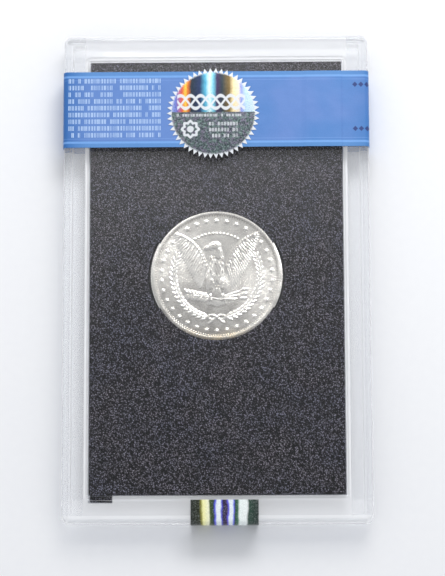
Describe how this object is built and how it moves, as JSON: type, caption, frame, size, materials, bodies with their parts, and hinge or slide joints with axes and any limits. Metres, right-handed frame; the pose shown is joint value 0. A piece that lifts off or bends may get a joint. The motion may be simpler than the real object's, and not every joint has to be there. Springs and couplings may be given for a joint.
{
  "type": "graded coin slab",
  "caption": "Flat sealed clear plastic holder with a black insert round a large silver coin, a blue tamper band and foil seals.",
  "frame": {"origin": "middle of the bounding box's underside, at the outer face of the label on the front", "axes": "+X to the right and +Y up the slab as its back is read, +Z out of the back face"},
  "size_m": [0.0886, 0.1414, 0.0103],
  "materials": {
    "clear_plastic": "clear polished plastic",
    "black_plastic": "fine pebble grain",
    "silver": "bright struck silver",
    "blue_paper": "satin printed paper",
    "foil": "diffractive security foil",
    "white_paper": "satin printed paper"
  },
  "bodies": {
    "slab": {"front_shell": "clear_plastic", "back_shell": "clear_plastic", "insert": "black_plastic", "tamper_band": "blue_paper", "round_seal": "foil", "edge_seal": "foil", "grade_label": "white_paper"},
    "coin": {"coin": "silver"}
  },
  "joints": [
    {"name": "coin_turn", "type": "hinge", "parent": "slab", "child": "coin", "pos_m": [0, 0.0005, 0.00515], "axis": [0, 0, 1], "continuous": true}
  ]
}
